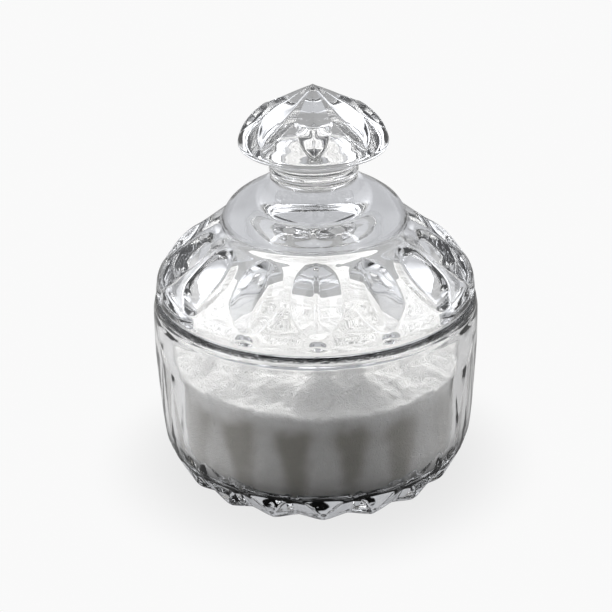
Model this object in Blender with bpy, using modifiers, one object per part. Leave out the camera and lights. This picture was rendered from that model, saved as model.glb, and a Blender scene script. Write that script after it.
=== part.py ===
"""Pressed-glass powder jar: a faceted jar, a fluted lid with its moulded star-cut knob, and the powder inside.

Metres, +Z up. The origin is the centre of the foot, on the surface that the jar stands on. -Y is the front.
Outlines are (radius, height) in millimetres, and turned() brings them to metres.
"""

import math

import bmesh
import bpy
import numpy as np

MM = 0.001

# Driving dimensions, in millimetres.
JAR_RADIUS = 50.0
JAR_HEIGHT = 58.4
LID_RADIUS = 49.1
TOTAL_HEIGHT = 125.8
WALL = 4.6
FLOOR_Z = 8.4
SEAT_GAP = 0.3
FLANGE_DEPTH = 5.0
FLANGE_CLEARANCE = 0.9
FLOOR_FILLET = 6.5
FLOOR_INSET = 1.4
POWDER_GAP = 0.3
POWDER_LEVEL = 45.5
POWDER_DROP = 3.0

# The jar's pattern: panels between ridges, spears that chamfer the ridges, and scallops round the foot.
JAR_FACETS = 17
JAR_TURN = math.radians(2.0)
PANEL_FULL_Z = 42.0
PANEL_TOP_Z = 48.5
SPEAR_TOP_Z = 42.0
SPEAR_FULL_Z = 12.0
FACET_FULL_Z = 4.0
SCALLOP_TOP_Z = 13.0
SCALLOP_SLOPE = 0.3
FOOT_INNER = 30.5
FOOT_FLAT = 34.5
FOOT_OUTER = 40.0

# The lid's flutes and the knob's star. Each flute is a V with its bottom under the plain surface, given by its depth
# and half its width at rising heights, from the small notch under its tip. The knob's grooves keep one slope, and meet
# in ridges where they are wide enough.
LID_FLUTES = 14
LID_TURN = math.radians(0.5)
TIER_EDGE = 29.3
FLUTE_HEIGHTS = (61.0, 62.2, 64.4, 66.7, 69.2, 72.0, 75.0, 78.2, 81.5)
FLUTE_DEPTHS = (0.0, 1.5, 0.1, 1.8, 3.3, 4.3, 4.4, 3.2, 0.0)
FLUTE_HALF_WIDTHS = (1.4, 1.9, 2.6, 3.7, 6.1, 7.1, 7.2, 5.8, 0.8)
KNOB_FLUTES = 8
KNOB_HEIGHTS = (110.8, 113.0, 116.0, 118.5, 122.0)
KNOB_HALF_WIDTHS = (0.0, 2.4, 4.3, 5.4, 6.5)
KNOB_SLOPE = 0.5
KNOB_BOTTOM_Z = 106.0

JAR_COLUMNS = 4 * JAR_FACETS
LID_COLUMNS = 8 * LID_FLUTES
POWDER_COLUMNS = 48
FRONT = math.radians(-90.0)
ARC_STEP = math.radians(24.0)
SMOOTH_ANGLE = math.radians(14.0)
MERGE = 1e-5

GLASS_COLOUR = (0.93, 0.94, 0.95, 1.0)
POWDER_COLOUR = (0.88, 0.88, 0.86, 1.0)


def clear_scene():
    for obj in list(bpy.data.objects):
        bpy.data.objects.remove(obj, do_unlink=True)


def make_collection(name):
    collection = bpy.data.collections.new(name)
    bpy.context.scene.collection.children.link(collection)
    return collection


def make_material(name, colour, roughness, transmission):
    material = bpy.data.materials.new(name)
    material.use_nodes = True
    shader = material.node_tree.nodes["Principled BSDF"]
    shader.inputs["Base Color"].default_value = colour
    shader.inputs["Roughness"].default_value = roughness
    shader.inputs["Metallic"].default_value = 0.0
    shader.inputs["Transmission Weight"].default_value = transmission
    shader.inputs["IOR"].default_value = 1.52
    return material


def rounded(corners):
    """An outline through (r, z, fillet) corners, each fillet drawn as an arc with a point every ARC_STEP."""
    points = []
    for i, (r, z, fillet) in enumerate(corners):
        here = np.array((r, z))
        if not fillet:
            points.append(tuple(here))
            continue
        before = np.array(corners[i - 1][:2]) - here
        after = np.array(corners[i + 1][:2]) - here
        before /= np.linalg.norm(before)
        after /= np.linalg.norm(after)
        turn = math.pi - math.acos(float(np.clip(before @ after, -1, 1)))
        tangent = fillet * math.tan(turn / 2)
        inward = (before + after) / np.linalg.norm(before + after)
        centre = here + inward * fillet / math.cos(turn / 2)
        start = here + before * tangent - centre
        end = here + after * tangent - centre
        pieces = max(1, round(turn / ARC_STEP))
        for k in range(pieces + 1):
            share = k / pieces
            arm = (math.sin((1 - share) * turn) * start + math.sin(share * turn) * end) / math.sin(turn)
            points.append(tuple(centre + arm))
    return points


def turned(name, outline, columns, start_angle, collection, material):
    """The outline turned about Z with a Screw modifier, its first column at start_angle, as a mesh object."""
    blank = bpy.data.meshes.new(name + "_outline")
    vertices = [(r * MM, 0.0, z * MM) for r, z in outline]
    blank.from_pydata(vertices, [(i, i + 1) for i in range(len(vertices) - 1)], [])
    profile = bpy.data.objects.new(name + "_profile", blank)
    collection.objects.link(profile)
    screw = profile.modifiers.new("Turn", "SCREW")
    screw.axis = "Z"
    screw.angle = math.tau
    screw.steps = columns
    screw.render_steps = columns
    screw.use_merge_vertices = True
    screw.merge_threshold = MERGE
    graph = bpy.context.evaluated_depsgraph_get()
    mesh = bpy.data.meshes.new_from_object(profile.evaluated_get(graph))
    bpy.data.objects.remove(profile, do_unlink=True)
    mesh.name = name
    shape = bmesh.new()
    shape.from_mesh(mesh)
    bmesh.ops.remove_doubles(shape, verts=shape.verts, dist=MERGE)
    turn = np.array(((math.cos(start_angle), -math.sin(start_angle)), (math.sin(start_angle), math.cos(start_angle))))
    for vertex in shape.verts:
        vertex.co.x, vertex.co.y = turn @ np.array(vertex.co.xy)
    shape.to_mesh(mesh)
    shape.free()
    obj = bpy.data.objects.new(name, mesh)
    collection.objects.link(obj)
    mesh.materials.append(material)
    return obj


def press(obj, pattern):
    """Moves each vertex to where pattern(angle, r, z) puts its radius and height, in millimetres."""
    for vertex in obj.data.vertices:
        x, y, z = vertex.co / MM
        r = math.hypot(x, y)
        angle = math.atan2(y, x)
        new_r, new_z = pattern(angle, r, z)
        vertex.co = (new_r * MM * math.cos(angle), new_r * MM * math.sin(angle), new_z * MM)
    obj.data.shade_smooth()
    obj.data.set_sharp_from_angle(angle=SMOOTH_ANGLE)


def off_centre(angle, first, count):
    """The angle from the nearest of count places round the axis, the first of them at first."""
    pitch = math.tau / count
    return (angle - first + pitch / 2) % pitch - pitch / 2


def ramp(value, low, high):
    """0 at low, 1 at high, and smooth between them."""
    share = min(1.0, max(0.0, (value - low) / (high - low)))
    return share * share * (3 - 2 * share)


def jar_pattern(angle, r, z):
    """Flat panels, spears and scallops on the jar's outside. The inside is left round."""
    outside = JAR_RADIUS - WALL + 0.5
    half_pitch = math.pi / JAR_FACETS
    from_lobe = off_centre(angle, FRONT + JAR_TURN, JAR_FACETS)
    from_panel = half_pitch - abs(from_lobe)
    sagitta = r * (1 - math.cos(half_pitch))
    new_r, new_z = r, z
    if r > outside or (z < FLOOR_Z - 1 and r > FOOT_OUTER):
        panel_depth = sagitta * min(1.0, max(0.0, (PANEL_TOP_Z - z) / (PANEL_TOP_Z - PANEL_FULL_Z)))
        spear_depth = sagitta * min(1.0, (SPEAR_TOP_Z - z) / (SPEAR_TOP_Z - SPEAR_FULL_Z))
        new_r = min(new_r, (r - panel_depth) / math.cos(from_panel))
        if z < SPEAR_TOP_Z:
            new_r = min(new_r, (r - spear_depth) / math.cos(from_lobe))
        new_r = r + (new_r - r) * ramp(z, 0.0, FACET_FULL_Z)
    if r > FOOT_INNER + 1 and z < SCALLOP_TOP_Z and (z < FLOOR_Z - 3 or r > outside - 2):
        half_width = (SCALLOP_TOP_Z - z) / SCALLOP_TOP_Z * r * math.sin(half_pitch)
        depth = max(0.0, half_width - r * math.sin(from_panel)) * SCALLOP_SLOPE * ramp(r, FOOT_FLAT, FOOT_OUTER)
        new_r -= depth * math.sqrt(0.5)
        new_z += depth * math.sqrt(0.5)
    return new_r, new_z


def lid_pattern(angle, r, z):
    """The knob's star, pressed straight down, and the dome's flutes, pressed in at 45 degrees."""
    if z > KNOB_BOTTOM_Z:
        from_groove = off_centre(angle, FRONT + LID_TURN, KNOB_FLUTES)
        to_ridge = r * math.sin(math.pi / KNOB_FLUTES)
        half_width = min(to_ridge, float(np.interp(z, KNOB_HEIGHTS, KNOB_HALF_WIDTHS)))
        return r, z - max(0.0, half_width - abs(r * math.sin(from_groove))) * KNOB_SLOPE
    if r > TIER_EDGE and z > FLUTE_HEIGHTS[0]:
        across = abs(r * math.sin(off_centre(angle, FRONT + LID_TURN, LID_FLUTES)))
        half_width = float(np.interp(z, FLUTE_HEIGHTS, FLUTE_HALF_WIDTHS))
        depth = float(np.interp(z, FLUTE_HEIGHTS, FLUTE_DEPTHS)) * max(0.0, 1 - across / half_width)
        return r - depth * math.sqrt(0.5), z - depth * math.sqrt(0.5)
    return r, z


def jar_outline():
    """Up the inside from the middle of the floor, over the rim, down the outside and under the foot."""
    inner = JAR_RADIUS - WALL
    return rounded((
        (0.0, FLOOR_Z, 0),
        (18.0, FLOOR_Z, 0),
        (inner - FLOOR_INSET, FLOOR_Z, FLOOR_FILLET),
        (inner - 0.6, 30.0, 0),
        (inner, JAR_HEIGHT, 0.8),
        (JAR_RADIUS - 0.2, JAR_HEIGHT, 1.8),
        (JAR_RADIUS - 0.5, JAR_HEIGHT - 2.6, 0),
        (JAR_RADIUS, JAR_HEIGHT - 3.6, 0),
        (JAR_RADIUS, PANEL_TOP_Z, 0),
        (JAR_RADIUS, 45.2, 0),
        (JAR_RADIUS, PANEL_FULL_Z, 0),
        (JAR_RADIUS - 0.2, 32.0, 0),
        (JAR_RADIUS - 0.6, 21.0, 0),
        (JAR_RADIUS - 1.2, 14.5, 0),
        (JAR_RADIUS - 1.9, 12.2, 0),
        (47.1, 9.3, 0),
        (45.7, 6.2, 0),
        (44.1, 3.2, 0),
        (42.0, 1.0, 0),
        (FOOT_OUTER, 0.0, 0),
        (FOOT_FLAT, 0.0, 0),
        (FOOT_INNER, 0.0, 0),
        (FOOT_INNER - 1.5, 1.4, 0),
        (14.0, 1.8, 0),
        (0.0, 1.8, 0),
    ))


def lid_outline():
    """Down the outside from the knob's point, round the rim and the flange, and up the inside to the ceiling."""
    seat_z = JAR_HEIGHT + SEAT_GAP
    flange_outer = JAR_RADIUS - WALL - FLANGE_CLEARANCE
    flange_z = seat_z - FLANGE_DEPTH
    return rounded((
        (0.0, TOTAL_HEIGHT, 0),
        (3.0, 124.5, 0),
        (9.0, 121.5, 0),
        (15.6, 118.1, 0),
        (18.6, 115.6, 0),
        (20.7, 113.1, 0),
        (22.0, 110.6, 0),
        (22.7, 108.2, 0),
        (22.2, 106.8, 0),
        (17.0, 105.7, 0),
        (14.0, 104.7, 0),
        (12.9, 102.6, 0),
        (12.8, 99.8, 0),
        (13.5, 99.2, 0),
        (13.5, 98.3, 0),
        (13.4, 97.0, 0),
        (18.0, 93.3, 0),
        (24.2, 89.2, 3.0),
        (27.6, 85.0, 0),
        (28.1, 83.0, 0),
        (TIER_EDGE, 82.6, 0),
        (31.0, 81.5, 0),
        (35.0, 78.2, 0),
        (38.9, 75.0, 0),
        (43.1, 72.0, 0),
        (45.6, 69.2, 0),
        (47.3, 66.7, 0),
        (48.4, 64.4, 0),
        (48.9, 62.2, 0),
        (LID_RADIUS, seat_z, 1.7),
        (flange_outer, seat_z, 0),
        (flange_outer - 0.2, flange_z, 0.6),
        (flange_outer - 2.4, flange_z, 0.6),
        (flange_outer - 2.1, seat_z + 1.5, 0),
        (39.8, 64.8, 3.5),
        (33.0, 71.4, 0),
        (25.0, 77.9, 0),
        (16.6, 84.2, 2.5),
        (8.0, 85.3, 0),
        (0.0, 85.4, 0),
    ))


def heap_height(x, y):
    """The powder's uneven surface, lowest at the front and round the wall, with two small heaps at the front."""
    level = POWDER_LEVEL - 0.02 * x + 0.10 * y - POWDER_DROP * ramp(math.hypot(x, y), 30.0, 45.0)
    heaps = ((1.0, -33.0, 5.0, 4.0), (12.0, -31.0, 4.0, 4.0))
    for heap_x, heap_y, height, spread in heaps:
        level += height * math.exp(-((x - heap_x) ** 2 + (y - heap_y) ** 2) / (2 * spread**2))
    return level


def powder_outline():
    """A filled disc that clears the jar's floor and wall, with flat rings on top that the heap then lifts."""
    outer = JAR_RADIUS - WALL - FLOOR_INSET - POWDER_GAP
    floor = FLOOR_Z + POWDER_GAP
    surface = [(radius, POWDER_LEVEL, 0) for radius in range(0, 43, 3)]
    side = [
        (outer + 0.6, POWDER_LEVEL, 0),
        (outer + 0.5, 24.0, 0),
        (outer, floor, FLOOR_FILLET),
        (20.0, floor, 0),
        (0.0, floor, 0),
    ]
    return rounded(surface + side)


def powder_pattern(angle, r, z):
    """Lifts the flat top to the heap. The side and the floor stay."""
    if z < POWDER_LEVEL - 1:
        return r, z
    return r, heap_height(r * math.cos(angle), r * math.sin(angle))


def main():
    clear_scene()
    parts = make_collection("powder_jar")
    glass = make_material("clear_glass", GLASS_COLOUR, 0.02, 1.0)
    powder = make_material("white_powder", POWDER_COLOUR, 0.9, 0.0)

    jar = turned("jar_body", jar_outline(), JAR_COLUMNS, FRONT + JAR_TURN, parts, glass)
    press(jar, jar_pattern)
    lid = turned("lid", lid_outline(), LID_COLUMNS, FRONT + LID_TURN, parts, glass)
    press(lid, lid_pattern)
    fill = turned("powder_fill", powder_outline(), POWDER_COLUMNS, FRONT, parts, powder)
    press(fill, powder_pattern)


main()
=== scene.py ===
"""The powder jar's looks: fine pressed-glass meshes, granular powder and soft studio light.

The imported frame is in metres. Outlines here are (radius, height) in millimetres, and turned() brings
them to metres.
"""

import math

import bpy
import numpy as np
from mathutils import Matrix, Vector, noise


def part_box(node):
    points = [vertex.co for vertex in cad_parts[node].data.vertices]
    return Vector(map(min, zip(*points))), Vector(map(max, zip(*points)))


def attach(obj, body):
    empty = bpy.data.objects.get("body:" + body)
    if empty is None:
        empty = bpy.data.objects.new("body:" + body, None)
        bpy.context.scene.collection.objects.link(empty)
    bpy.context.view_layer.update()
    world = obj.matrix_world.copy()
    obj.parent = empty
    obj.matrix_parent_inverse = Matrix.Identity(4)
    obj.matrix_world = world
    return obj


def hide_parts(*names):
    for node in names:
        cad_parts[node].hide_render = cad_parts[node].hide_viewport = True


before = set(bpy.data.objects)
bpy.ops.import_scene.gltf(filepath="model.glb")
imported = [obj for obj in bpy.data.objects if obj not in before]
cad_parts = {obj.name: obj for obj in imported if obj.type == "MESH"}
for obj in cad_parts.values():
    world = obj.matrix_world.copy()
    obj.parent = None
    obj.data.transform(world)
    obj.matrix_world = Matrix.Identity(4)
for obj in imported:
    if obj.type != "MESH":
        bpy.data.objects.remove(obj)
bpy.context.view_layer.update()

MM = 0.001
FRONT = math.radians(-90.0)

# Sizes that the frame gives, in millimetres.
JAR_HEIGHT = (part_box("jar_body")[1] / MM).z
LID_LOW, LID_HIGH = (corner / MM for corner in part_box("lid"))
TOTAL_HEIGHT = LID_HIGH.z
LID_RADIUS = LID_HIGH.x
FLANGE_Z = LID_LOW.z

# Sizes as in the CAD, in millimetres. The powder's side stands POWDER_INSET in from the wall at the floor.
JAR_RADIUS = 50.0
WALL = 4.6
FLOOR_Z = 8.4
SEAT_Z = JAR_HEIGHT + 0.3
FLANGE_CLEARANCE = 0.9
POWDER_GAP = 0.3
POWDER_INSET = 1.5

# The heap: its level in the middle, its slopes, its drop round the wall, and its mounds as
# (x, y, height, spread). Small lumps of LUMP_HEIGHT cover it.
POWDER_LEVEL = 45.5
POWDER_SLOPE_X = -0.02
POWDER_SLOPE_Y = 0.10
POWDER_DROP = 3.0
MOUNDS = ((1.0, -33.0, 5.0, 4.0), (12.0, -31.0, 4.0, 4.0))
LUMP_HEIGHT = 0.7
LUMP_SCALE = 0.16

# The jar's pattern, as on the CAD jar, but with the spears cut deeper by SPEAR_SHARE.
JAR_FACETS = 17
JAR_TURN = math.radians(2.0)
PANEL_FULL_Z = 42.0
PANEL_TOP_Z = 48.5
SPEAR_TOP_Z = 42.0
SPEAR_FULL_Z = 12.0
SPEAR_SHARE = 1.36
FACET_FULL_Z = 4.0
HEEL_Z = 12.0
SCALLOP_TOP_Z = 13.0
SCALLOP_SLOPE = 0.30
FOOT_INNER = 30.5
FOOT_FLAT = 34.5
FOOT_Z = 0.05

# The lid's flutes and the knob's star. A flute is a V with its bottom under the plain surface, given by rows
# of height, depth and half width, and so is the small notch under its tip. The knob's grooves are rows of
# height and half width. They keep one slope, and meet in ridges where they are wide enough.
LID_FLUTES = 14
LID_TURN = math.radians(0.5)
FLUTES = ((64.5, 0.0, 0.8), (65.5, 0.8, 2.2), (67.0, 2.0, 4.0), (69.2, 3.3, 6.1), (71.3, 4.2, 7.1),
          (75.0, 4.4, 7.2), (78.6, 3.1, 5.5), (80.3, 1.3, 2.6), (81.2, 0.0, 0.8))
NOTCH = ((61.4, 0.0, 1.4), (62.1, 2.2, 1.9), (64.7, 0.1, 2.8))
KNOB_FLUTES = 8
KNOB_GROOVES = ((110.8, 0.0), (113.0, 2.4), (116.0, 4.3), (118.5, 5.4), (122.0, 6.5))
KNOB_SLOPE = 0.50

# The knob's pattern is above this height, and the dome's below it.
KNOB_Z = 104.0

# The studio's light, as brightness against white. The powder gets only a share of what the glass shows.
FRONT_ROOM, SIDE_ROOM, BACK_ROOM = 0.03, 1.60, 0.55
FRONT_FLOOR, SIDE_FLOOR, BACK_FLOOR = 0.20, 0.56, 0.33
LEFT_SHARE = 1.25
ROOM_ON_POWDER = 0.33
FLOOR_ON_POWDER = 0.32
WHITE = (1.0, 1.0, 1.0, 1.0)
ROOM_TINT = (0.95, 0.965, 1.0, 1.0)
LAMP_TINT = (0.96, 0.97, 1.0)

JAR_COLUMNS = 22 * JAR_FACETS
LID_COLUMNS = 24 * LID_FLUTES
POWDER_COLUMNS = 360

# Half the width of a crease between facets, as an angle round the axis.
CREASE = 0.0025

# Sizes of the glass's rounded corners. The first two are angles round the axis, FLUTE_EDGE is a share of the
# flute's half width, and the others are in millimetres.
RIDGE_ROUNDING = 0.002
VALLEY_ROUNDING = 0.02
FLUTE_EDGE = 0.02
PANEL_EDGE = 0.04
SPEAR_EDGE = 0.03
SCALLOP_BOTTOM, SCALLOP_EDGE = 2.0, 0.1
GROOVE_BOTTOM, GROOVE_EDGE = 0.5, 0.05
FLUTE_BOTTOM = 0.3

# An outline is sampled every FINE_STEP before its corners are rounded. A last step shorter than
# SHORTEST_STEP joins the one before it.
FINE_STEP = 0.2
SHORTEST_STEP = 0.05


# ---------------------------------------------------------------- outlines and turned meshes


def spline(points, step):
    """Points about step apart on a Catmull-Rom curve through the given ones, the last left out."""
    pts = np.array(points, float)
    padded = np.vstack((2 * pts[0] - pts[1], pts, 2 * pts[-1] - pts[-2]))
    out = []
    for p0, p1, p2, p3 in zip(padded, padded[1:], padded[2:], padded[3:]):
        count = max(1, round(np.linalg.norm(p2 - p1) / step))
        for t in np.arange(count) / count:
            out.append(
                0.5 * ((2 * p1) + (p2 - p0) * t + (2 * p0 - 5 * p1 + 4 * p2 - p3) * t**2
                       + (3 * p1 - p0 - 3 * p2 + p3) * t**3)
            )
    return out


def polished(strokes, passes):
    """One outline from (spacing, points) strokes that meet end to end, with its corners fire-polished.

    Returns (r, z) rows, spaced as each stroke says. More passes round the corners more."""
    fine, spacing = [], []
    for step, points in strokes:
        samples = spline(points, FINE_STEP)
        fine += samples
        spacing += [step] * len(samples)
    fine.append(np.array(strokes[-1][1][-1], float))
    spacing.append(strokes[-1][0])
    fine = np.array(fine)
    for _ in range(passes):
        fine[1:-1] = (fine[:-2] + 2 * fine[1:-1] + fine[2:]) / 4
    rows, travelled = [fine[0]], 0.0
    for before, here, step in zip(fine, fine[1:], spacing[1:]):
        travelled += np.linalg.norm(here - before)
        if travelled >= step:
            rows.append(here)
            travelled = 0.0
    if travelled > SHORTEST_STEP:
        rows.append(fine[-1])
    else:
        rows[-1] = fine[-1]
    return np.array(rows)


def off_centre(angle, first, count):
    """The angle from the nearest of count places round the axis, the first of them at first."""
    pitch = math.tau / count
    return (angle - first + pitch / 2) % pitch - pitch / 2


def soft_positive(value, radius):
    """value where it is well above 0 and 0 where it is well below, with a rounded corner between."""
    return 0.5 * (value + np.sqrt(value**2 + radius**2))


def soft_abs(value, radius):
    """The distance from 0, with a rounded bottom."""
    return np.sqrt(value**2 + radius**2) - radius


def ramp(value, low, high):
    """0 at low, 1 at high, and smooth between them."""
    share = np.clip((value - low) / (high - low), 0.0, 1.0)
    return share * share * (3 - 2 * share)


def pressed(angle, r, z, normal, depth):
    """The points moved in by depth, against the outline's outward normal."""
    return angle, r - depth * normal[0], z - depth * normal[1]


def gathered(angle, first, count, columns, edge):
    """The angles moved so that, in each of count repeats, two columns hug the line at edge from its middle.

    The repeat keeps its middle and its ends, so a crease along the line is crisp in a mesh of few columns."""
    half = math.pi / count
    steps = columns // (2 * count)
    inner, outer = (steps // 2) / steps, (steps // 2 + 1) / steps
    offset = off_centre(angle, first, count)
    share = np.abs(offset) / half
    edge = np.clip(edge, 3 * CREASE, half - 3 * CREASE)
    low, high = edge - CREASE, edge + CREASE
    before = share / inner * low
    across = low + (share - inner) / (outer - inner) * (high - low)
    after = high + (share - outer) / (1 - outer) * (half - high)
    moved = np.where(share < inner, before, np.where(share < outer, across, after))
    return angle + np.sign(offset) * (moved - np.abs(offset))


def turned(name, rows, columns, first_angle, pattern, material):
    """A closed mesh: the rows turned about Z, with each point where pattern(angle, r, z, normal) puts it.

    The first and the last row are at radius 0 and become single points."""
    along = np.gradient(rows, axis=0)
    along /= np.linalg.norm(along, axis=1)[:, None]
    normal = (-along[:, 1:], along[:, :1])
    angles = first_angle + math.tau * np.arange(columns) / columns
    angle, r = np.meshgrid(angles, rows[:, 0])
    angle, r, z = pattern(angle, r, np.repeat(rows[:, 1:], columns, axis=1), normal)
    grid = np.stack((r * np.cos(angle), r * np.sin(angle), z), axis=2)
    ends = np.array(((0.0, 0.0, z[0].mean()), (0.0, 0.0, z[-1].mean())))
    vertices = np.vstack((grid[1:-1].reshape(-1, 3), ends)) * MM
    first = np.arange(columns)
    after = (first + 1) % columns
    count = len(rows) - 2
    faces = []
    for i in range(count - 1):
        upper, lower = i * columns, (i + 1) * columns
        faces += np.stack((upper + first, lower + first, lower + after, upper + after), axis=1).tolist()
    last = (count - 1) * columns
    top, bottom = count * columns, count * columns + 1
    faces += [(top, int(a), int(b)) for a, b in zip(first, after)]
    faces += [(bottom, int(last + b), int(last + a)) for a, b in zip(first, after)]
    mesh = bpy.data.meshes.new(name)
    mesh.from_pydata(vertices.tolist(), [], faces)
    mesh.materials.append(material)
    mesh.shade_smooth()
    obj = bpy.data.objects.new(name, mesh)
    bpy.context.scene.collection.objects.link(obj)
    return obj


# ---------------------------------------------------------------- the jar


def jar_rows():
    """From the middle of the floor up the inside, over the lip, down the outside and under the foot."""
    inner = JAR_RADIUS - WALL
    return polished((
        (1.3, ((0.0, FLOOR_Z), (20.0, FLOOR_Z - 0.1), (34.0, FLOOR_Z), (38.5, FLOOR_Z + 0.5),
               (41.3, FLOOR_Z + 1.7), (42.9, FLOOR_Z + 4.0), (inner - 1.2, 17.4), (inner - 0.7, 30.0))),
        (1.1, ((inner - 0.7, 30.0), (inner - 0.2, 46.0), (inner, JAR_HEIGHT - 1.2))),
        (0.35, ((inner, JAR_HEIGHT - 1.2), (inner + 0.8, JAR_HEIGHT), (JAR_RADIUS - 3.2, JAR_HEIGHT),
                (JAR_RADIUS - 1.6, JAR_HEIGHT - 0.3), (JAR_RADIUS - 0.6, JAR_HEIGHT - 1.1),
                (JAR_RADIUS - 0.2, JAR_HEIGHT - 2.0))),
        (0.35, ((JAR_RADIUS - 0.2, JAR_HEIGHT - 2.0), (JAR_RADIUS - 0.5, JAR_HEIGHT - 2.6),
                (JAR_RADIUS, JAR_HEIGHT - 3.6))),
        (0.55, ((JAR_RADIUS, JAR_HEIGHT - 3.6), (JAR_RADIUS, 53.0), (JAR_RADIUS, 42.0),
                (JAR_RADIUS - 0.2, 32.0), (JAR_RADIUS - 0.6, 21.0), (JAR_RADIUS - 1.2, 14.5),
                (JAR_RADIUS - 1.9, HEEL_Z))),
        (0.4, ((JAR_RADIUS - 1.9, HEEL_Z), (47.1, 9.2), (45.7, 6.2), (44.1, 3.2), (42.0, 1.0),
               (40.0, FOOT_Z), (FOOT_FLAT, FOOT_Z))),
        (0.9, ((FOOT_FLAT, FOOT_Z), (FOOT_INNER, FOOT_Z), (FOOT_INNER - 1.4, 1.2), (20.0, 1.8), (0.0, 1.8))),
    ), 10)


def jar_pattern(angle, r, z, normal):
    """Panels between ridges, spears that chamfer the ridges, and V scallops between the foot's lobes."""
    first = FRONT + JAR_TURN
    half_pitch = math.pi / JAR_FACETS
    sagitta = r * (1 - math.cos(half_pitch))
    panel = sagitta * np.clip((PANEL_TOP_Z - z) / (PANEL_TOP_Z - PANEL_FULL_Z), -0.5, 1.0)
    spear = sagitta * SPEAR_SHARE * np.clip((SPEAR_TOP_Z - z) / (SPEAR_TOP_Z - SPEAR_FULL_Z), -0.5, 1.0)
    scallop = np.clip((SCALLOP_TOP_Z - z) / SCALLOP_TOP_Z, 0.0, 1.0) * math.sin(half_pitch)

    # Columns hug the line where a spear meets its panel, or where a scallop cuts the lobe.
    ahead = (r - panel) - (r - spear) * math.cos(half_pitch)
    spear_edge = np.arctan(ahead / ((r - spear) * math.sin(half_pitch)))
    edge = np.minimum(spear_edge, half_pitch - np.arcsin(scallop))
    angle = gathered(angle, first, JAR_FACETS, JAR_COLUMNS, edge)
    from_lobe = off_centre(angle, first, JAR_FACETS)

    from_panel = half_pitch - soft_abs(from_lobe, RIDGE_ROUNDING)
    panel_cut = r - (r - panel) / np.cos(from_panel)
    spear_cut = r - (r - spear) / np.cos(from_lobe)
    cut = soft_positive(panel_cut, PANEL_EDGE)
    cut = cut + soft_positive(spear_cut - cut, SPEAR_EDGE)
    side = (r > JAR_RADIUS - WALL + 0.7) & (z < JAR_HEIGHT - 1.5)
    heel = (r > FOOT_FLAT + 2) & (z < HEEL_Z - 5)
    facets = np.where(side | heel, cut * ramp(z, 0.0, FACET_FULL_Z), 0.0)

    from_valley = half_pitch - soft_abs(from_lobe, VALLEY_ROUNDING)
    below = r * scallop - soft_abs(r * np.sin(from_valley), SCALLOP_BOTTOM)
    depth = soft_positive(below, SCALLOP_EDGE) * SCALLOP_SLOPE
    foot = (z < SCALLOP_TOP_Z) & ((z < FLOOR_Z - 3) | (r > JAR_RADIUS - WALL)) & (r > FOOT_FLAT - 1)
    scallops = np.where(foot, depth * ramp(r, FOOT_FLAT, FOOT_FLAT + 4.0), 0.0)
    return pressed(angle, r, z, normal, facets + scallops)


# ---------------------------------------------------------------- the lid


def lid_rows():
    """Down the outside from the knob's point, round the rim and the flange, and up to the ceiling inside."""
    flange = JAR_RADIUS - WALL - FLANGE_CLEARANCE
    rim = LID_RADIUS
    return polished((
        (0.45, ((0.0, TOTAL_HEIGHT), (3.0, 124.5), (6.0, 123.0), (9.0, 121.4), (12.0, 119.9), (15.6, 117.9),
                (18.6, 115.4), (20.7, 112.9), (22.0, 110.4), (22.7, 108.2))),
        (0.4, ((22.7, 108.2), (22.5, 107.2), (21.3, 106.5), (17.0, 105.7), (14.6, 105.0), (13.3, 103.7),
               (12.9, 102.0), (12.8, 100.3))),
        (0.3, ((12.8, 100.3), (13.5, 99.8), (13.6, 99.1), (13.0, 98.6), (13.0, 97.9))),
        (0.5, ((13.0, 97.9), (13.9, 96.2), (18.0, 93.2), (22.3, 90.6), (25.6, 88.0), (27.5, 85.2),
               (28.1, 83.0))),
        (0.4, ((28.1, 83.0), (29.0, 82.4), (30.8, 81.6))),
        (0.5, ((30.8, 81.6), (35.2, 78.0), (38.9, 75.0), (43.1, 72.0), (45.6, 69.3), (47.3, 66.7),
               (48.5, 64.3), (rim - 0.1, 61.8))),
        (0.35, ((rim - 0.1, 61.8), (rim, 60.5), (rim - 0.4, 59.6), (rim - 1.3, SEAT_Z + 0.2),
                (rim - 2.6, SEAT_Z), (flange, SEAT_Z), (flange - 0.1, FLANGE_Z + 0.4),
                (flange - 0.7, FLANGE_Z), (flange - 1.8, FLANGE_Z), (flange - 2.3, FLANGE_Z + 0.6))),
        (1.2, ((flange - 2.3, FLANGE_Z + 0.6), (flange - 2.1, SEAT_Z + 2.0), (39.8, 64.8), (36.6, 68.2),
               (33.0, 71.4), (28.6, 75.0), (25.0, 77.9), (21.4, 80.8))),
        (0.8, ((21.4, 80.8), (19.0, 82.6), (16.6, 84.2), (14.6, 84.9), (8.0, 85.3), (0.0, 85.4))),
    ), 8)


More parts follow.
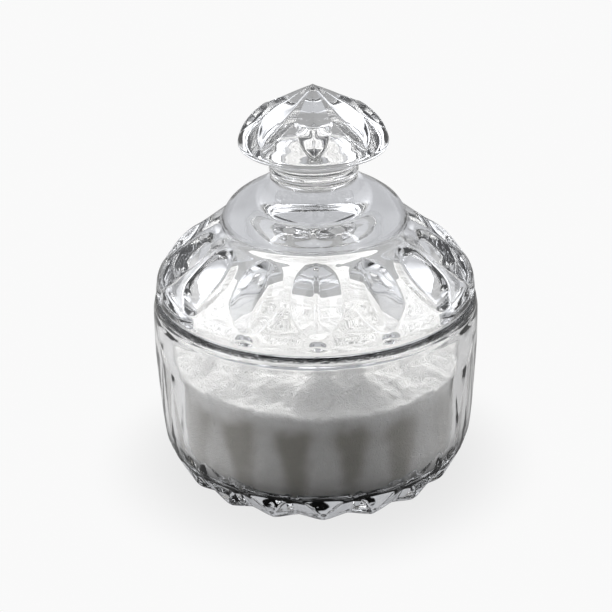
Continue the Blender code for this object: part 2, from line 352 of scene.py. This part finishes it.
def lid_pattern(angle, r, z, normal):
    """The star on the knob, the flutes on the dome and the notch under each flute."""
    first = FRONT + LID_TURN
    knob_heights, knob_widths = np.array(KNOB_GROOVES).T
    flute_heights, flute_depths, flute_widths = np.array(spline(FLUTES, 0.1)).T
    notch_heights, notch_depths, notch_widths = np.array(NOTCH).T
    knob_width = np.minimum(np.interp(z, knob_heights, knob_widths), r * math.sin(math.pi / KNOB_FLUTES))
    flute_width = np.interp(z, flute_heights, flute_widths)

    # Columns hug the edges of the knob's grooves and of the flutes.
    radius = np.maximum(r, 1.0)
    groove_edge = np.arcsin(knob_width / radius)
    flute_edge = np.arcsin(np.minimum(flute_width / radius, 0.9))
    angle = np.where(z > KNOB_Z,
                     gathered(angle, first, KNOB_FLUTES, LID_COLUMNS, groove_edge),
                     gathered(angle, first, LID_FLUTES, LID_COLUMNS, flute_edge))

    from_groove = soft_abs(r * np.sin(off_centre(angle, first, KNOB_FLUTES)), GROOVE_BOTTOM)
    groove = soft_positive(knob_width - from_groove, GROOVE_EDGE) * KNOB_SLOPE
    star = np.where((z > knob_heights[0]) & (r < 23), groove, 0.0)

    # The radius limits keep the flutes and the notches to the outside, clear of the hollow and the flange.
    from_flute = soft_abs(r * np.sin(off_centre(angle, first, LID_FLUTES)), FLUTE_BOTTOM)
    flute = soft_positive(1 - from_flute / flute_width, FLUTE_EDGE)
    flute = flute * np.interp(z, flute_heights, flute_depths)
    dome = (z > flute_heights[0]) & (z < flute_heights[-1]) & (r > 29.0 + (flute_heights[-1] - z) * 0.9)
    flutes = np.where(dome, flute, 0.0)
    inside = ramp(np.interp(z, notch_heights, notch_widths) - from_flute, -0.1, 0.5)
    notch = inside * np.interp(z, notch_heights, notch_depths)
    notches = np.where((z > notch_heights[0]) & (z < notch_heights[-1]) & (r > 45), notch, 0.0)
    return pressed(angle, r, z, normal, star + flutes + notches)


# ---------------------------------------------------------------- the powder


def heap_height(x, y):
    """The powder's uneven surface, lowest at the front and round the wall, with two mounds at the front."""
    level = (POWDER_LEVEL + POWDER_SLOPE_X * x + POWDER_SLOPE_Y * y
             - POWDER_DROP * ramp(np.hypot(x, y), 30.0, 45.0))
    for mound_x, mound_y, height, spread in MOUNDS:
        level = level + height * np.exp(-((x - mound_x) ** 2 + (y - mound_y) ** 2) / (2 * spread**2))
    return level


def powder_rows():
    """From the middle of the heap out to the wall, down the wall and under."""
    outer = JAR_RADIUS - WALL - POWDER_INSET
    floor = FLOOR_Z + POWDER_GAP
    return polished((
        (0.5, ((0.0, POWDER_LEVEL), (20.0, POWDER_LEVEL), (outer + 0.6, POWDER_LEVEL))),
        (0.8, ((outer + 0.6, POWDER_LEVEL), (outer + 0.5, 30.0), (outer, 17.4), (42.5, FLOOR_Z + 4.2),
               (41.0, FLOOR_Z + 2.1), (38.4, floor + 0.5), (34.0, floor))),
        (2.0, ((34.0, floor), (20.0, floor), (0.0, floor))),
    ), 12)


def powder_pattern(angle, r, z, normal):
    """Lifts the flat top to the heap and its lumps, and the wall's upper part with it."""
    x, y = r * np.cos(angle), r * np.sin(angle)
    lumps = np.vectorize(lambda a, b: noise.fractal(Vector((a, b, 0.0)) * LUMP_SCALE, 1.0, 2.0, 4))(x, y)
    lift = heap_height(x, y) - POWDER_LEVEL + LUMP_HEIGHT * lumps
    return angle, r, z + lift * ramp(z, 24.0, POWDER_LEVEL - 0.5)


# ---------------------------------------------------------------- materials


def new_material(name):
    material = bpy.data.materials.new(name)
    material.use_nodes = True
    tree = material.node_tree
    tree.nodes.clear()
    return material, tree


def add(tree, kind, inputs=None, **settings):
    """A new node with the given settings, and input values by name or number."""
    node = tree.nodes.new(kind)
    for key, value in settings.items():
        setattr(node, key, value)
    for key, value in (inputs or {}).items():
        node.inputs[key].default_value = value
    return node


def math_node(tree, operation, first, second=None):
    """A Math node whose operands are numbers or other nodes' outputs."""
    node = add(tree, "ShaderNodeMath", operation=operation)
    for socket, value in zip(node.inputs, (first, second)):
        if isinstance(value, (int, float)):
            socket.default_value = value
        elif value is not None:
            tree.links.new(value, socket)
    return node.outputs[0]


def fade(tree, value, start, end, low, high):
    """low up to start, high from end on, and smooth between."""
    node = add(tree, "ShaderNodeMapRange",
               {"From Min": start, "From Max": end, "To Min": low, "To Max": high},
               interpolation_type="SMOOTHSTEP")
    tree.links.new(value, node.inputs["Value"])
    return node.outputs["Result"]


def glass_material(name):
    """Clear pressed glass with faint mould ripple, rough by the seat, that lets the lamps' light through."""
    material, tree = new_material(name)
    link = tree.links.new
    output = add(tree, "ShaderNodeOutputMaterial")
    shader = add(tree, "ShaderNodeBsdfPrincipled", {
        "Base Color": (0.992, 0.995, 1.0, 1.0),
        "Metallic": 0.0,
        "IOR": 1.52,
        "Transmission Weight": 1.0,
    })
    place = add(tree, "ShaderNodeTexCoord")
    ripple = add(tree, "ShaderNodeTexNoise", {"Scale": 90.0, "Detail": 2.0, "Roughness": 0.5})
    link(place.outputs["Object"], ripple.inputs["Vector"])
    bump = add(tree, "ShaderNodeBump", {"Strength": 0.10, "Distance": 0.001})
    link(ripple.outputs["Fac"], bump.inputs["Height"])

    # The rough ring: about a millimetre above and below the jar's lip, and only at its outer edge.
    split = add(tree, "ShaderNodeSeparateXYZ")
    link(place.outputs["Object"], split.inputs["Vector"])
    from_seat = math_node(tree, "ABSOLUTE", math_node(tree, "SUBTRACT", split.outputs["Z"], JAR_HEIGHT * MM))
    near_seat = fade(tree, from_seat, 0.0007, 0.0012, 1.0, 0.0)
    out = add(tree, "ShaderNodeVectorMath", {1: (1.0, 1.0, 0.0)}, operation="MULTIPLY")
    link(place.outputs["Object"], out.inputs[0])
    radius = add(tree, "ShaderNodeVectorMath", operation="LENGTH")
    link(out.outputs["Vector"], radius.inputs[0])
    outside = fade(tree, radius.outputs["Value"], 0.0474, 0.0482, 0.0, 1.0)
    seat = math_node(tree, "MULTIPLY", near_seat, outside)
    chips = add(tree, "ShaderNodeTexNoise", {"Scale": 700.0, "Detail": 3.0, "Roughness": 0.6})
    link(place.outputs["Object"], chips.inputs["Vector"])
    ground = add(tree, "ShaderNodeBump", {"Strength": 0.9, "Distance": 0.0012})
    link(math_node(tree, "MULTIPLY", chips.outputs["Fac"], seat), ground.inputs["Height"])
    link(bump.outputs["Normal"], ground.inputs["Normal"])
    link(ground.outputs["Normal"], shader.inputs["Normal"])

    # Faint smears make the surface a little less glossy here and there.
    smear = add(tree, "ShaderNodeTexNoise", {"Scale": 35.0, "Detail": 3.0})
    link(place.outputs["Object"], smear.inputs["Vector"])
    gloss = add(tree, "ShaderNodeMapRange",
                {"From Min": 0.45, "From Max": 0.8, "To Min": 0.0, "To Max": 0.05})
    link(smear.outputs["Fac"], gloss.inputs["Value"])
    seat_roughness = math_node(tree, "MULTIPLY", seat, 0.25)
    link(math_node(tree, "ADD", gloss.outputs["Result"], seat_roughness), shader.inputs["Roughness"])

    clear = add(tree, "ShaderNodeBsdfTransparent", {"Color": (0.97, 0.975, 0.98, 1.0)})
    rays = add(tree, "ShaderNodeLightPath")
    mix = add(tree, "ShaderNodeMixShader")
    link(rays.outputs["Is Shadow Ray"], mix.inputs["Fac"])
    link(shader.outputs["BSDF"], mix.inputs[1])
    link(clear.outputs["BSDF"], mix.inputs[2])
    link(mix.outputs["Shader"], output.inputs["Surface"])
    return material


def powder_material():
    """White granules, with light and shade painted into the colour: soft painted light bands down the wall
    for the light that the jar's facets gather and spread, and painted shade between them.
    """
    material, tree = new_material("white_powder")
    link = tree.links.new
    output = add(tree, "ShaderNodeOutputMaterial")
    shader = add(tree, "ShaderNodeBsdfPrincipled", {"Roughness": 0.85, "Specular IOR Level": 0.3})
    place = add(tree, "ShaderNodeTexCoord")
    grains = add(tree, "ShaderNodeTexVoronoi", {"Scale": 2600.0})
    clumps = add(tree, "ShaderNodeTexNoise", {"Scale": 420.0, "Detail": 5.0, "Roughness": 0.7})
    drifts = add(tree, "ShaderNodeTexNoise", {"Scale": 70.0, "Detail": 3.0})
    for node in (grains, clumps, drifts):
        link(place.outputs["Object"], node.inputs["Vector"])
    tone = add(tree, "ShaderNodeMix", data_type="RGBA")
    tone.inputs["A"].default_value = (0.82, 0.80, 0.76, 1.0)
    tone.inputs["B"].default_value = (0.98, 0.965, 0.935, 1.0)
    link(clumps.outputs["Fac"], tone.inputs["Factor"])

    # One painted light band for each of the jar's facets, widest at the foot.
    split = add(tree, "ShaderNodeSeparateXYZ")
    link(place.outputs["Object"], split.inputs["Vector"])
    turn = math_node(tree, "ARCTAN2", split.outputs["Y"], split.outputs["X"])
    from_lobe = math_node(tree, "SUBTRACT", turn, FRONT + JAR_TURN)
    wave = math_node(tree, "COSINE", math_node(tree, "MULTIPLY", from_lobe, float(JAR_FACETS)))
    wander = math_node(tree, "ADD", wave, math_node(tree, "MULTIPLY", drifts.outputs["Fac"], 2.4))
    limit = fade(tree, split.outputs["Z"], 0.012, 0.036, 0.6, 1.8)
    painted_light = fade(tree, math_node(tree, "SUBTRACT", wander, limit), -0.9, 0.9, 0.0, 0.75)

    # The painted shade between them starts a little below the heap's surface, and is weaker away from the
    # middle.
    level = add(tree, "ShaderNodeVectorMath", {1: (POWDER_SLOPE_X, POWDER_SLOPE_Y, -1.0)},
                operation="DOT_PRODUCT")
    link(place.outputs["Object"], level.inputs[0])
    depth = math_node(tree, "ADD", level.outputs["Value"], (POWDER_LEVEL - POWDER_DROP) * MM)
    uneven = math_node(tree, "ADD", depth, math_node(tree, "MULTIPLY", drifts.outputs["Fac"], 0.010))
    below = fade(tree, uneven, 0.006, 0.012, 0.0, 1.0)
    from_middle = math_node(tree, "ABSOLUTE", math_node(tree, "ADD", split.outputs["X"], 0.0025))
    middle = fade(tree, from_middle, 0.026, 0.034, 1.0, 0.35)
    painted_shade = math_node(tree, "MULTIPLY", math_node(tree, "MULTIPLY", below, middle),
                      math_node(tree, "SUBTRACT", 1.0, painted_light))
    # Painted shade: where the shade mask is strong, the wall's colour goes from the powder's tone to this
    # warm grey.
    wall = add(tree, "ShaderNodeMix", data_type="RGBA")
    wall.inputs["B"].default_value = (0.40, 0.375, 0.325, 1.0)
    link(tone.outputs["Result"], wall.inputs["A"])
    link(painted_shade, wall.inputs["Factor"])
    link(wall.outputs["Result"], shader.inputs["Base Color"])

    rough = add(tree, "ShaderNodeBump", {"Strength": 0.8, "Distance": 0.0008})
    link(clumps.outputs["Fac"], rough.inputs["Height"])
    fine = add(tree, "ShaderNodeBump", {"Strength": 0.6, "Distance": 0.0003})
    link(grains.outputs["Distance"], fine.inputs["Height"])
    link(rough.outputs["Normal"], fine.inputs["Normal"])
    link(fine.outputs["Normal"], shader.inputs["Normal"])
    link(shader.outputs["BSDF"], output.inputs["Surface"])
    return material


# ---------------------------------------------------------------- stage, light and camera


def seen_or_lighting(tree, kind, seen, lighting, tint, output):
    """Plain white of strength seen to the camera, and tinted light of strength lighting to the object."""
    plain = add(tree, kind, {"Color": WHITE})
    studio = add(tree, kind, {"Color": tint})
    for shader, strength in ((plain, seen), (studio, lighting)):
        if isinstance(strength, float):
            shader.inputs["Strength"].default_value = strength
        else:
            tree.links.new(strength, shader.inputs["Strength"])
    rays = add(tree, "ShaderNodeLightPath")
    mix = add(tree, "ShaderNodeMixShader")
    tree.links.new(rays.outputs["Is Camera Ray"], mix.inputs["Fac"])
    tree.links.new(studio.outputs[0], mix.inputs[1])
    tree.links.new(plain.outputs[0], mix.inputs[2])
    tree.links.new(mix.outputs["Shader"], output.inputs["Surface"])


def studio_pattern(tree, direction, front, side, back, narrow, wide):
    """Brightness by heading round the jar: front and back levels, and a side level.

    The side level fades in from narrow to wide, as the sine of the heading, and is stronger on the left."""
    flat = add(tree, "ShaderNodeVectorMath", {1: (1.0, 1.0, 0.0)}, operation="MULTIPLY")
    tree.links.new(direction, flat.inputs[0])
    heading = add(tree, "ShaderNodeVectorMath", operation="NORMALIZE")
    tree.links.new(flat.outputs["Vector"], heading.inputs[0])
    split = add(tree, "ShaderNodeSeparateXYZ")
    tree.links.new(heading.outputs["Vector"], split.inputs["Vector"])
    ends = fade(tree, split.outputs["Y"], -0.5, 0.5, front, back)
    sides = fade(tree, math_node(tree, "ABSOLUTE", split.outputs["X"]), narrow, wide, 0.0, side)
    left_first = fade(tree, split.outputs["X"], -0.5, 0.5, LEFT_SHARE, 1.0)
    return math_node(tree, "MAXIMUM", ends, math_node(tree, "MULTIPLY", sides, left_first))


def on_powder(tree, share):
    """1 for light that the glass shows, and share for light that falls on the powder."""
    rays = add(tree, "ShaderNodeLightPath")
    return fade(tree, rays.outputs["Diffuse Depth"], 0.0, 1.0, 1.0, share)


def pale_floor():
    """A white table top that lights the jar least from under it and most from its sides, with painted shade
    under the jar and a painted soft shadow round its foot where the camera sees it.
    """
    material, tree = new_material("pale_floor")
    output = add(tree, "ShaderNodeOutputMaterial")
    place = add(tree, "ShaderNodeTexCoord")
    distance = add(tree, "ShaderNodeVectorMath", operation="LENGTH")
    tree.links.new(place.outputs["Object"], distance.inputs[0])
    # Painted shade: the floor's light is almost nothing under the jar and rises to full by 80 mm out.
    painted_shade_under_jar = fade(tree, distance.outputs["Value"], 0.034, 0.080, 0.03, 1.0)
    pattern = studio_pattern(tree, place.outputs["Object"], FRONT_FLOOR, SIDE_FLOOR, BACK_FLOOR, 0.25, 0.75)
    light = math_node(tree, "MULTIPLY", math_node(tree, "MULTIPLY", painted_shade_under_jar, pattern),
                      on_powder(tree, FLOOR_ON_POWDER))
    # Painted shadow: the glowing white that the camera sees is darker in a soft ring round the jar's foot.
    painted_shadow = fade(tree, distance.outputs["Value"], 0.036, 0.075, 0.80, 0.95)
    seen_or_lighting(tree, "ShaderNodeEmission", painted_shadow, light, WHITE, output)
    bpy.ops.mesh.primitive_plane_add(size=6.0, location=(0.0, 0.0, -0.0003))
    floor = bpy.context.object
    floor.name = "floor"
    floor.data.materials.append(material)


def world_light():
    """A room that is white on both sides, grey behind the jar and dark in front of it."""
    world = bpy.data.worlds.new("studio")
    bpy.context.scene.world = world
    world.use_nodes = True
    tree = world.node_tree
    tree.nodes.clear()
    output = add(tree, "ShaderNodeOutputWorld")
    place = add(tree, "ShaderNodeTexCoord")
    pattern = studio_pattern(tree, place.outputs["Generated"], FRONT_ROOM, SIDE_ROOM, BACK_ROOM, 0.4, 0.95)
    light = math_node(tree, "MULTIPLY", pattern, on_powder(tree, ROOM_ON_POWDER))
    seen_or_lighting(tree, "ShaderNodeBackground", 1.0, light, ROOM_TINT, output)


def softbox(name, azimuth, elevation, width, height, power, lights_powder, colour=(1.0, 1.0, 1.0)):
    """An area lamp 0.9 m away and aimed at the jar, that either lights the powder or shows in the glass.

    Azimuth 0 is in front of the jar, and 90 on its right."""
    lamp = bpy.data.lights.new(name, "AREA")
    lamp.shape = "RECTANGLE"
    lamp.size = width
    lamp.size_y = height
    lamp.energy = power
    lamp.color = colour
    a, e = math.radians(azimuth), math.radians(elevation)
    out = Vector((math.sin(a) * math.cos(e), -math.cos(a) * math.cos(e), math.sin(e)))
    target = Vector((0.0, 0.0, 0.06))
    obj = bpy.data.objects.new(name, lamp)
    obj.location = target + out * 0.9
    obj.rotation_mode = "QUATERNION"
    obj.rotation_quaternion = (-out).to_track_quat("-Z", "Y")
    obj.visible_diffuse = lights_powder
    obj.visible_glossy = not lights_powder
    obj.visible_transmission = not lights_powder
    bpy.context.scene.collection.objects.link(obj)


def studio_lamps():
    softbox("left_box", -56, 38, 0.08, 0.7, 1.5, False, LAMP_TINT)
    softbox("right_box", 56, 38, 0.08, 0.7, 1.5, False, LAMP_TINT)
    softbox("powder_back", 180, 27, 0.5, 0.3, 12.5, True)
    softbox("powder_left", -90, 40, 0.5, 0.3, 1.2, True)
    softbox("powder_right", 90, 40, 0.5, 0.3, 1.0, True)


def camera():
    """A long lens from 24.5 degrees above, turned 0.8 degrees."""
    elevation = math.radians(24.5)
    roll = math.radians(0.8)
    distance = 0.66
    data = bpy.data.cameras.new("camera")
    data.sensor_width = 36.0
    data.lens = 126.1
    data.shift_x = -0.0152
    data.shift_y = -0.045
    data.clip_start = 0.01
    data.clip_end = 20.0
    obj = bpy.data.objects.new("camera", data)
    back = Vector((0.0, -math.cos(elevation), math.sin(elevation)))
    obj.location = Vector((0.0, 0.0, 0.0625)) + back * distance
    turn = (-back).to_track_quat("-Z", "Y").to_matrix() @ Matrix.Rotation(-roll, 3, "Z")
    obj.rotation_mode = "QUATERNION"
    obj.rotation_quaternion = turn.to_quaternion()
    bpy.context.scene.collection.objects.link(obj)
    bpy.context.scene.camera = obj


# ---------------------------------------------------------------- the whole


jar = turned("jar_glass", jar_rows(), JAR_COLUMNS, FRONT + JAR_TURN, jar_pattern,
             glass_material("jar_pressed_glass"))
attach(jar, "jar")
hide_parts("jar_body")

lid = turned("lid_glass", lid_rows(), LID_COLUMNS, FRONT + LID_TURN, lid_pattern,
             glass_material("lid_pressed_glass"))
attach(lid, "cover")
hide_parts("lid")

powder = turned("powder_heap", powder_rows(), POWDER_COLUMNS, FRONT, powder_pattern, powder_material())
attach(powder, "jar")
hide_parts("powder_fill")

pale_floor()
world_light()
studio_lamps()
camera()

scene = bpy.context.scene
scene.view_settings.view_transform = "Standard"
scene.cycles.max_bounces = 32
scene.cycles.transmission_bounces = 32
scene.cycles.transparent_max_bounces = 32
